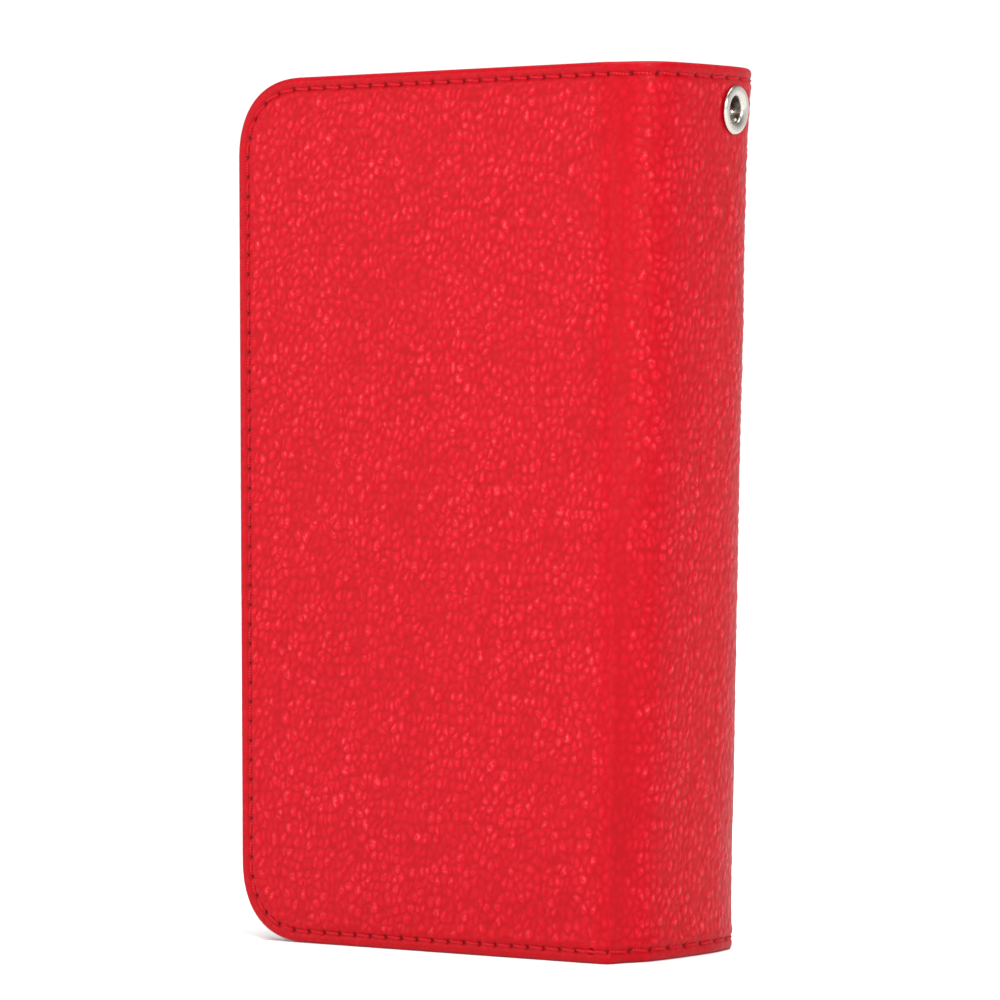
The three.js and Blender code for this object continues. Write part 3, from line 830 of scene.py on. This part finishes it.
# Eyelet: a rolled flange with a funnel that curls down into the barrel, and its washer inside
eyelet_piece(
    "eyelet_ring",
    [(EYELET_FLANGE - 0.25, -0.25)]
    + arc((EYELET_FLANGE - 0.35, 0.05), 0.35, -30, 60, 6)
    + arc((EYELET_BORE + 1.35, -0.9), 1.5, 62, 112, 10)
    + arc((EYELET_BORE + 1.0, -0.5), 1.0, 105, 180, 9)
    + [(EYELET_BORE, -1.7), (EYELET_BORE, -3.9), (EYELET_BORE + 0.35, -3.9), (EYELET_BORE + 0.4, -0.6)],
    "eyelet",
)
eyelet_piece(
    "eyelet_back_ring",
    arc((3.55, -3.32), 0.28, 200, 20, 8) + arc((4.6, -3.2), 0.25, 60, -80, 8),
    "eyelet_washer",
)

# Microfibre linings: one sheet from the spine's middle over each panel, its cut in metres
LINING_INSET = 1.9
LINING_DEPTH = 3.4
LINING_STEP = 1.0
LINING_EDGE = 0.22
LINING_TUCK = 0.7
LINING_HOLE_R = 3.3


def lining_sheet(name, side):
    """One cover's lining with its edge tucked down, and a hole for the eyelet in the front one."""
    radius = CORNER_R - LINING_INSET
    edge = [radius - LINING_TUCK, radius - 0.3, radius - 0.08, radius]
    run = np.concatenate([np.arange(0, radius - LINING_TUCK, LINING_STEP), edge])
    lines = (run, radius - run, np.zeros(len(run)))
    grid = CoverGrid(side, LINING_STEP, lines, radius, INNER_Y - 0.05, LINING_DEPTH)
    tuck = LINING_EDGE * (1 - ramp(0.0, LINING_TUCK, grid.inset))
    soft = 0.05 * noise(grid.u, grid.v, 9, 31) * ramp(1, 5, grid.inset)
    point = grid.mirrored(grid.point + grid.normal * (tuck + soft)[..., None])
    faces = grid_faces(*grid.u.shape, flip=side < 0)
    if side < 0:
        radial, near = from_bore(point)
        faces = faces[~((radial < LINING_HOLE_R) & near).ravel()[faces].any(1)]
    return make_mesh(name, point, faces, np.stack([grid.u, grid.v], -1))


for side, name in SIDES:
    sheet = paint(lining_sheet(f"{name}_lining_sheet", side), LINING)
    over_fold(sheet, side)
    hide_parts(f"{name}_lining", "spine_lining")


class Route:
    """A path in X and Z through corners, each but the first and last rounded by its radius."""

    SPACING = 0.6

    def __init__(self, corners, radii):
        corners = [np.array(c, float) for c in corners]
        points = [corners[0]]
        for before, corner, after, radius in zip(corners, corners[1:], corners[2:], radii):
            back = (before - corner) / np.linalg.norm(before - corner)
            on = (after - corner) / np.linalg.norm(after - corner)
            centre = corner + (back + on) * radius
            for turn in np.linspace(0, np.pi / 2, 14):
                points.append(centre - radius * (on * math.cos(turn) + back * math.sin(turn)))
        points = np.array(points + [corners[-1]])
        gaps = np.hypot(*np.diff(points, axis=0).T)
        points = points[np.concatenate([[True], gaps > 1e-6])]
        marks = running(np.hypot(*np.diff(points, axis=0).T))
        self.points, self.marks, self.length = points, marks, marks[-1]
        self.samples = np.unique(np.concatenate([marks, np.arange(0, self.length, self.SPACING)]))

    def place(self, walked):
        return np.stack([np.interp(walked, self.marks, self.points[:, k]) for k in (0, 1)], -1)

    def ahead(self, walked):
        after = self.place(np.minimum(walked + 0.2, self.length))
        step = after - self.place(np.maximum(walked - 0.2, 0))
        return step / np.linalg.norm(step, axis=-1, keepdims=True)

    def stitches(self, name, height, facing, pitch=3.4, lift=0.2, thickness=0.9):
        """Thread along the route, on a face whose Y at each X comes from height."""
        holes = np.linspace(0, self.length, round(self.length / pitch) + 1)
        levels = [height(self.place(h)[0]) for h in holes]

        def path(walked):
            x, z = self.place(walked)
            return np.array([x, height(x), z]), np.array([0.0, facing, 0.0])

        pairs = [
            (a, b, lift, thickness)
            for a, b, low, high in zip(holes[:-1], holes[1:], levels[:-1], levels[1:])
            if abs(low - high) < 0.2
        ]
        return paint(stitch_run(name, 1, path, pairs), THREAD)


def seam_route(x, z, inset, radius, start=1.5):
    """The stitch line of a panel that is open on its -X side, where it starts a little way in."""
    turn = max(radius - inset, 0.5)
    left, right, low, high = x[0] + start, x[1] - inset, z[0] + inset, z[1] - inset
    return Route([(left, low), (right, low), (right, high), (left, high)], [turn, turn])


PANEL_ROLL = 0.35
PANEL_STEP = 0.6
PANEL_GRAIN = 0.2


def leather_panel(name, x, z, face, facing, falls, radius, seam, seed):
    """A leather panel in the XZ plane with rolled edges and a hem. falls is how far the left, right,
    low and high edges turn down. The +X corners are round."""
    reach = max(radius, 2.5)
    flat = np.arange(0, reach - 2.2, PANEL_STEP)
    margin = np.arange(reach - 2.2, reach - PANEL_ROLL, 0.3)
    angles = np.linspace(0, np.pi / 2, 6)
    hem = np.array([0.0, 0.6, 1.8])
    inset = np.concatenate([reach - flat, reach - margin, PANEL_ROLL * (1 - np.sin(angles)), hem])
    level = np.zeros(len(flat) + len(margin))
    rolled = np.concatenate([level, 1 - np.cos(angles), [1, 1, 1]])
    fallen = np.concatenate([level, 0 * angles, [1, 1, 1]])
    run = running(np.maximum(np.abs(np.diff(inset)), 0.05))

    def stations(low, top):
        count = max(3, int((top - low - 2 * reach) / PANEL_STEP))
        middle = np.linspace(low + reach, top - reach, count)[1:-1]
        place = np.concatenate([low + inset[::-1], middle, top - inset])
        out = np.concatenate([run[::-1], 0 * middle, run])
        sign = np.concatenate([-np.ones(len(run)), 0 * middle, np.ones(len(run))])
        return place, out, sign

    place_x, out_x, sign_x = (a[None, :] for a in stations(*x))
    place_z, out_z, sign_z = (a[:, None] for a in stations(*z))
    most, angle = corner_angle(out_x, out_z)
    rounded = (sign_x > 0) & (sign_z != 0)
    away = reach - np.interp(most, run, inset)
    px = np.where(rounded, x[1] - reach + away * np.cos(angle), place_x + 0 * place_z)
    base = np.where(sign_z > 0, z[1] - reach, z[0] + reach)
    pz = np.where(rounded, base + sign_z * away * np.sin(angle), place_z + 0 * place_x)
    fall_x = np.where(sign_x > 0, falls[1], falls[0])
    fall_z = np.where(sign_z > 0, falls[3], falls[2])

    def drop(out, fall):
        hang = (fall - PANEL_ROLL) * np.interp(out, run, fallen)
        return PANEL_ROLL * np.interp(out, run, rolled) + hang

    mixed = fall_x * np.cos(angle) ** 2 + fall_z * np.sin(angle) ** 2
    depth = np.where(rounded, drop(most, mixed), np.maximum(drop(out_x, fall_x), drop(out_z, fall_z)))
    edge_z = np.where(sign_z != 0, np.interp(out_z, run, inset), FAR)
    edge_x = np.where(sign_x > 0, np.interp(out_x, run, inset), FAR)
    edge = np.where(rounded, np.interp(most, run, inset), np.minimum(edge_z, edge_x))
    on_face = 1 - ramp(0.02, 0.3, depth)
    grain = pebbles(px, pz, PEBBLE, seed)
    strength = on_face * (0.3 + 0.7 * ramp(seam + 0.2, seam + 1.4, edge))
    groove = bump(seam, 0.45, edge) * on_face * (edge < FAR)
    height = PANEL_GRAIN * grain * strength - 0.18 * groove
    height += on_face * (0.06 * noise(px, pz, 13, seed + 1) + 0.1 * bump(1.2, 0.7, place_x - x[0]))
    points = np.stack([px, face - facing * depth + facing * height, pz], -1)
    faces = grid_faces(*px.shape, flip=facing > 0)
    # relief drives the leather's painted shade in the valleys and painted highlights on the tops; pit drives
    # painted shade in the seam's groove.
    values = {"relief": grain * strength, "pit": 0.4 * groove}
    return paint(make_mesh(name, points, faces, np.stack([px, pz], -1), values), LEATHER)


def placed(piece, body, *nodes):
    """Makes a piece ride on a body and stand for CAD nodes."""
    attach(piece, body)
    if nodes:
        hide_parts(*nodes)


# Front cover: the note pocket, card slots and the window's frame
NOTE_R, CARD_R, PAGE_R, SLIP_R = 12.0, 2.5, 7.0, 3.0
POCKET_FALLS = (0.6, 1.5, 1.5, 1.5)
POCKET_SEAM = 2.0
note_x, note_y, note_z = span_mm("note_pocket")
note = leather_panel(
    "note_pocket_panel", note_x, note_z, note_y[1], 1, POCKET_FALLS, NOTE_R, POCKET_SEAM, 41
)
placed(note, "front_cover", "note_pocket")
note_seam = seam_route(note_x, note_z, POCKET_SEAM, NOTE_R)
placed(note_seam.stitches("note_pocket_stitches", lambda x: note_y[1], 1), "front_cover")

binding_x, _, binding_z = span_mm("card_binding")
mouths, card_faces = [], []
for k in range(4):
    card_x, card_y, _ = span_mm(f"card_slot_{k + 1}")
    mouths.append(card_x[0])
    card_faces.append(card_y[1])
    stair = 0.12 * k
    nodes = [f"card_slot_{k + 1}"] + (["card_binding"] if k == 3 else [])
    wide = (card_x[0], binding_x[1] - stair)
    tall = (binding_z[0] + stair, binding_z[1] - stair)
    panel = leather_panel(
        f"card_pocket_{k + 1}", wide, tall, card_y[1], 1, POCKET_FALLS, CARD_R, POCKET_SEAM, 50 + 3 * k
    )
    placed(panel, "front_cover", *nodes)


def card_height(x):
    """The face of the topmost card pocket at X."""
    return card_faces[max([k for k in range(4) if mouths[k] <= x - 0.3] or [0])]


card_seam = seam_route((mouths[0], binding_x[1]), binding_z, POCKET_SEAM, CARD_R)
placed(card_seam.stitches("card_pocket_stitches", card_height, 1), "front_cover")


def swept_band(name, route, profile, height, material, grain=0.0, keep=None):
    """A strip along a route that faces +Y: profile holds (inset to the route's left, depth under the
    face), and keep says which places of the route have it."""
    inset, depth = np.array(profile, float).T
    s = route.samples
    if keep is not None:
        s = s[keep(route.place(s))]
    place, ahead = route.place(s)[:, None], route.ahead(s)[:, None]
    inward = np.stack([-ahead[..., 1], ahead[..., 0]], -1)
    flat = place + inward * inset[None, :, None]
    across = running(np.hypot(np.diff(inset), np.diff(depth)))
    u, v = s[:, None] + 0 * across, across[None, :] + 0 * s[:, None]
    cells = pebbles(u, v, PEBBLE, 70)
    on_face = (depth[None, :] < 0.05) * (1.0 if grain else 0.0)
    y = height - (depth[None, :] - grain * cells * on_face)
    points = np.stack([flat[..., 0], y, flat[..., 1]], -1)
    faces = grid_faces(len(s), len(inset))
    # relief drives the leather's painted shade in the valleys and painted highlights on the tops.
    values = {"relief": cells * on_face, "pit": 0 * u}
    return paint(make_mesh(name, points, faces, np.stack([u, v], -1), values), material)


FRAME_R, FRAME_RIM = 12.0, 5.0
frame_x, frame_y, frame_z = span_mm("id_frame")
rim_route = seam_route(frame_x, frame_z, 0, FRAME_R, 0)
rim_profile = (
    [(0.5, 1.45), (0.0, 1.4), (0.0, 0.7)]
    + arc((0.35, 0.35), 0.35, 180, 270, 5)
    + [(d, 0.0) for d in np.arange(0.7, FRAME_RIM - 0.5, 0.35)]
    + arc((FRAME_RIM - 0.3, 0.3), 0.3, 270, 360, 4)
    + [(FRAME_RIM, 0.6), (FRAME_RIM - 1.5, 0.6)]
)
rim = swept_band("window_frame", rim_route, rim_profile, frame_y[1], LEATHER, grain=0.16)
placed(rim, "front_cover", "id_frame")
for number, inset in enumerate((1.7, FRAME_RIM - 1.3)):
    route = seam_route(frame_x, frame_z, inset, FRAME_R, 1)
    name = f"window_stitches_{number + 1}"
    placed(route.stitches(name, lambda x: frame_y[1], 1, 3.0, 0.28), "front_cover")


def film_sheet():
    """The window's vinyl, a closed sheet that runs under the frame's rim."""
    (x0, x1), (_, y1), (z0, z1) = span_mm("id_window")
    under = 1.2
    u, v = np.meshgrid(np.linspace(x0, x1 + under, 60), np.linspace(z0 - under, z1 + under, 46))
    wave = 0.05 * noise(u, v, 12, 91)
    front = np.stack([u, y1 - 0.1 + wave, v], -1).reshape(-1, 3)
    back = front - np.array([0, 0.12, 0])
    count = u.size
    faces = np.concatenate([grid_faces(*u.shape, flip=True), grid_faces(*u.shape) + count])
    index = np.arange(count).reshape(u.shape)
    rim_loop = np.concatenate([index[0], index[1:, -1], index[-1, -2::-1], index[-2:0:-1, 0]])
    ahead = np.roll(rim_loop, -1)
    sides = np.stack([rim_loop, ahead, ahead + count, rim_loop + count], -1)
    made = make_mesh("window_film", np.concatenate([front, back]), np.concatenate([faces, sides]))
    return paint(made, FILM)


placed(film_sheet(), "front_cover", "id_window")

# Zip page: two leather walls, a bellows between them and a slip pocket
page_x, page_back_y, page_z = span_mm("page_back_wall")
page_front_y = span_mm("page_front_wall")[1]
WALL_FALLS = (1.2, 1.2, 1.2, 1.2)
WALL_SEAM = 1.8
page_seam = seam_route(page_x, page_z, WALL_SEAM, PAGE_R)
PAGE_WALLS = ((1, "back", page_back_y[1], 61), (-1, "front", page_front_y[0], 65))
for side, name, face, seed in PAGE_WALLS:
    wall = leather_panel(
        f"page_wall_{name}", page_x, page_z, face, side, WALL_FALLS, PAGE_R, WALL_SEAM, seed
    )
    placed(wall, "page", f"page_{name}_wall")
for side, name, face, seed in PAGE_WALLS:
    placed(page_seam.stitches(f"page_stitches_{name}", lambda x: face, side), "page")

zip_tape_x, _, zip_tape_z = span_mm("zip_tape_back")
gusset_low, gusset_high = page_front_y[1], page_back_y[0]
page_middle_z = (page_z[0] + page_z[1]) / 2
gusset_corners = [
    (page_x[1], page_middle_z),
    (page_x[1], page_z[1]),
    (page_x[0], page_z[1]),
    (page_x[0], page_z[0]),
    (page_x[1], page_z[0]),
    (page_x[1], page_middle_z),
]
gusset_route = Route(gusset_corners, [PAGE_R, 0.6, 0.6, PAGE_R])
gusset_profile = []
for t in np.linspace(0, 1, 25):
    pleat = 1.1 * math.sin(math.pi * t) + 0.12 * math.sin(6 * math.pi * t)
    gusset_profile.append((0.25 + pleat, (gusset_high - gusset_low) * t))


def outside_zip(place):
    """Where the gusset is: its route starts inside the zip's opening, so this leaves one strip."""
    x, z = place.T
    return (x < page_x[1] - 1.4) | (z < zip_tape_z[0]) | (z > zip_tape_z[1])


bellows = swept_band(
    "page_bellows", gusset_route, gusset_profile, gusset_high, LINING, keep=outside_zip
)
placed(bellows, "page", "page_gusset")

SLIP_FALLS = (0.9, 0.9, 0.9, 0.5)
SLIP_SEAM = 1.2
slip_x, slip_y, slip_z = span_mm("page_slip_pocket")
slip = leather_panel(
    "slip_pocket_panel", slip_x, slip_z, slip_y[0], -1, SLIP_FALLS, SLIP_R, SLIP_SEAM, 68
)
placed(slip, "page", "page_slip_pocket")
slip_left, slip_right, slip_low = slip_x[0] + SLIP_SEAM, slip_x[1] - SLIP_SEAM, slip_z[0] + SLIP_SEAM
slip_corners = [
    (slip_left, slip_z[1] - 1),
    (slip_left, slip_low),
    (slip_right, slip_low),
    (slip_right, slip_z[1] - 1),
]
slip_route = Route(slip_corners, [0.8, SLIP_R - SLIP_SEAM])
placed(slip_route.stitches("slip_pocket_stitches", lambda x: slip_y[0], -1), "page")

# Zip: woven tapes that follow the page's corners, and single teeth
ZIP_MIDDLE = (page_back_y[1] + page_front_y[0]) / 2
TEETH_NEAR, TEETH_FAR, TEETH_PITCH = 0.4, 1.65, 2.5


def page_edge(z):
    """How far the page's free edge is from its middle at height z."""
    over = np.maximum(np.maximum(page_z[0] + PAGE_R - z, z - page_z[1] + PAGE_R), 0)
    return page_x[1] - PAGE_R + np.sqrt(np.maximum(PAGE_R**2 - over**2, 0))


def tape_strip(name, side):
    """One side's tape: its selvedge, the fold by the teeth and the flat part sewn to the page."""
    z = np.linspace(*zip_tape_z, 300)
    across = np.array([0.75, 0.75, 1.2, 1.65, 1.9, 2.8, 3.8, 4.7, 4.9])
    rise = np.array([-0.5, 0.12, 0.2, 0.2, 0.06, 0.0, 0.0, -0.06, -0.4])
    ripple = 0.04 * noise(z, z * 0, 7, 81)
    x = page_edge(z)[:, None] - 0.32 + rise[None, :] + ripple[:, None]
    spread = ZIP_MIDDLE + side * across[None, :]
    points = np.stack(np.broadcast_arrays(x, spread, z[:, None]), -1)
    return paint(make_mesh(name, points, grid_faces(*x.shape, flip=side < 0)), TAPE)


def bevelled(sizes, width):
    """Points and triangles of a box of these sizes about the origin, with rounded edges."""
    shape = bmesh.new()
    bmesh.ops.create_cube(shape, size=1.0)
    for vert in shape.verts:
        vert.co = Vector(c * s for c, s in zip(vert.co, sizes))
    edges = shape.edges[:]
    bmesh.ops.bevel(shape, geom=edges, offset=width, segments=2, profile=0.5, affect="EDGES")
    bmesh.ops.triangulate(shape, faces=shape.faces[:])
    points = np.array([v.co[:] for v in shape.verts])
    faces = np.array([[v.index for v in f.verts] for f in shape.faces])
    shape.free()
    return points, faces


def teeth_row(name, side, first):
    """Moulded teeth: a rounded block on the tape with a head that reaches over the zip's middle."""
    block = bevelled((1.5, TEETH_FAR - TEETH_NEAR + 0.2, 1.05), 0.16)
    head = bevelled((1.05, 0.75, 1.4), 0.22)
    points, faces = [], []
    for z in np.arange(zip_tape_z[0] + 2.4 + first, zip_tape_z[1] - 3.0, TEETH_PITCH):
        for (shape, shape_faces), reach in ((block, (TEETH_NEAR + TEETH_FAR) / 2), (head, 0.28)):
            faces.append(shape_faces + sum(len(p) for p in points))
            points.append(shape + np.array([zip_tape_x[0] + 0.25, ZIP_MIDDLE + side * reach, z]))
    return paint(make_mesh(name, np.concatenate(points), np.concatenate(faces)), NICKEL)


for side, end, first in ((1, "back", 0.95), (-1, "front", 0.95 + TEETH_PITCH / 2)):
    placed(tape_strip(f"zip_tape_strip_{end}", side), "page", f"zip_tape_{end}")
    placed(teeth_row(f"zip_teeth_row_{end}", side, first), "page", f"zip_teeth_{end}")


def softened(name, node, body, material, width):
    """A finished copy of a rigid CAD node: its flat faces joined and its edges rounded."""
    made = linked(name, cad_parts[node].data.copy())
    shape = bmesh.new()
    shape.from_mesh(made.data)
    bmesh.ops.remove_doubles(shape, verts=shape.verts[:], dist=1e-6)
    flat = math.radians(0.5)
    bmesh.ops.dissolve_limit(shape, angle_limit=flat, verts=shape.verts[:], edges=shape.edges[:])
    shape.to_mesh(made.data)
    shape.free()
    made.data.shade_smooth()
    edges = made.modifiers.new("Edges", "BEVEL")
    edges.width = width * MM
    edges.segments = 3
    edges.limit_method = "ANGLE"
    edges.angle_limit = math.radians(35)
    edges.harden_normals = True
    placed(paint(made, material), body, node)


softened("phone_tray", "phone_shell", "shell", SHELL_PLASTIC, 0.3)
softened("tray_plate", "steel_plate", "shell", STEEL, 0.12)
softened("tray_felt", "shell_back_skin", "shell", FELT, 0.2)
softened("page_hinge_tape", "page_hinge_strip", "back_cover", LINING, 0.18)
softened("zip_stop_low", "zip_bottom_stop", "page", NICKEL, 0.25)
softened("zip_stop_high", "zip_top_stop", "page", NICKEL, 0.25)
softened("zip_slider_body", "zip_slider", "slider", NICKEL, 0.14)
softened("zip_pull_tab", "zip_pull", "pull", NICKEL, 0.14)

# CAD nodes that stay: boards, magnets and keepers
MAGNETS = [f"mount_magnet_{k}" for k in (1, 2, 3, 4)] + ["closure_magnet_1", "closure_magnet_2"]
for material, nodes in (
    (BOARD, ["back_board", "front_board", "spine_stiffener"]),
    (MAGNET, MAGNETS),
    (STEEL, ["page_keeper_1", "page_keeper_2"]),
):
    for node in nodes:
        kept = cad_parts[node]
        kept.data.materials.clear()
        kept.data.materials.append(material)

# Floor, light and camera
FLOOR_HALF, FLOOR_Z = 1500, -0.05
floor_corners = [(x, y, FLOOR_Z) for x in (-FLOOR_HALF, FLOOR_HALF) for y in (-FLOOR_HALF, FLOOR_HALF)]
floor = make_mesh("floor", floor_corners, [(0, 2, 3, 1)])
floor.data.materials.append(pale_look("floor_white", 0.96))

world = bpy.data.worlds.new("studio")
bpy.context.scene.world = world
world.use_nodes = True
sky = world.node_tree
direction = sky.nodes.new("ShaderNodeTexCoord").outputs["Generated"]
apart = sky.nodes.new("ShaderNodeSeparateXYZ")
ceiling = sky.nodes.new("ShaderNodeMapRange")
for socket, value in (("From Min", 0.12), ("From Max", 0.55), ("To Min", 1.08), ("To Max", 0.3)):
    ceiling.inputs[socket].default_value = value
sky.links.new(direction, apart.inputs["Vector"])
sky.links.new(apart.outputs["Z"], ceiling.inputs["Value"])
sky.links.new(ceiling.outputs["Result"], sky.nodes["Background"].inputs["Strength"])
sky.nodes["Background"].inputs["Color"].default_value = (1, 1, 1, 1)


def area_light(name, place, size, power):
    """A round lamp at a place in metres that shines at the case's middle."""
    data = bpy.data.lights.new(name, "AREA")
    data.shape = "DISK"
    data.size = size
    data.energy = power
    made = linked(name, data)
    made.location = place
    made.rotation_mode = "QUATERNION"
    aim = Vector(metres(0, 0, MID_Z)) - Vector(place)
    made.rotation_quaternion = aim.to_track_quat("-Z", "Y")


area_light("key", (-1.06, 1.0, 0.8), 0.26, 20)
area_light("side", (0.8, 1.3, 0.55), 0.2, 6.5)
overhead = bpy.data.lights.new("overhead", "SUN")
overhead.energy = 3.0
overhead.angle = math.radians(50)
linked("overhead", overhead)

# Camera: its place in millimetres, angles in radians and lens for a 36 mm sensor
CAMERA_PLACE = (-654.9, 852.5, 105.2)
CAMERA_HEADING = math.radians(37.551)
CAMERA_DOWN = 0.01693
CAMERA_ROLL = -0.00409
LENS_MM = 198.07

camera_data = bpy.data.cameras.new("camera")
camera_data.lens = LENS_MM
camera_data.sensor_width = 36
camera_data.clip_start, camera_data.clip_end = 0.05, 50
camera = linked("camera", camera_data)
level = Vector((math.sin(CAMERA_HEADING), -math.cos(CAMERA_HEADING), 0))
forward = level * math.cos(CAMERA_DOWN) - Vector((0, 0, 1)) * math.sin(CAMERA_DOWN)
right = Vector((-math.cos(CAMERA_HEADING), -math.sin(CAMERA_HEADING), 0))
up = right.cross(forward)
turn = Matrix((right, up, -forward)).transposed().to_4x4()
camera.matrix_world = Matrix.Translation(metres(*CAMERA_PLACE)) @ turn @ Matrix.Rotation(CAMERA_ROLL, 4, "Z")
bpy.context.scene.camera = camera
bpy.context.scene.view_settings.view_transform = "Standard"
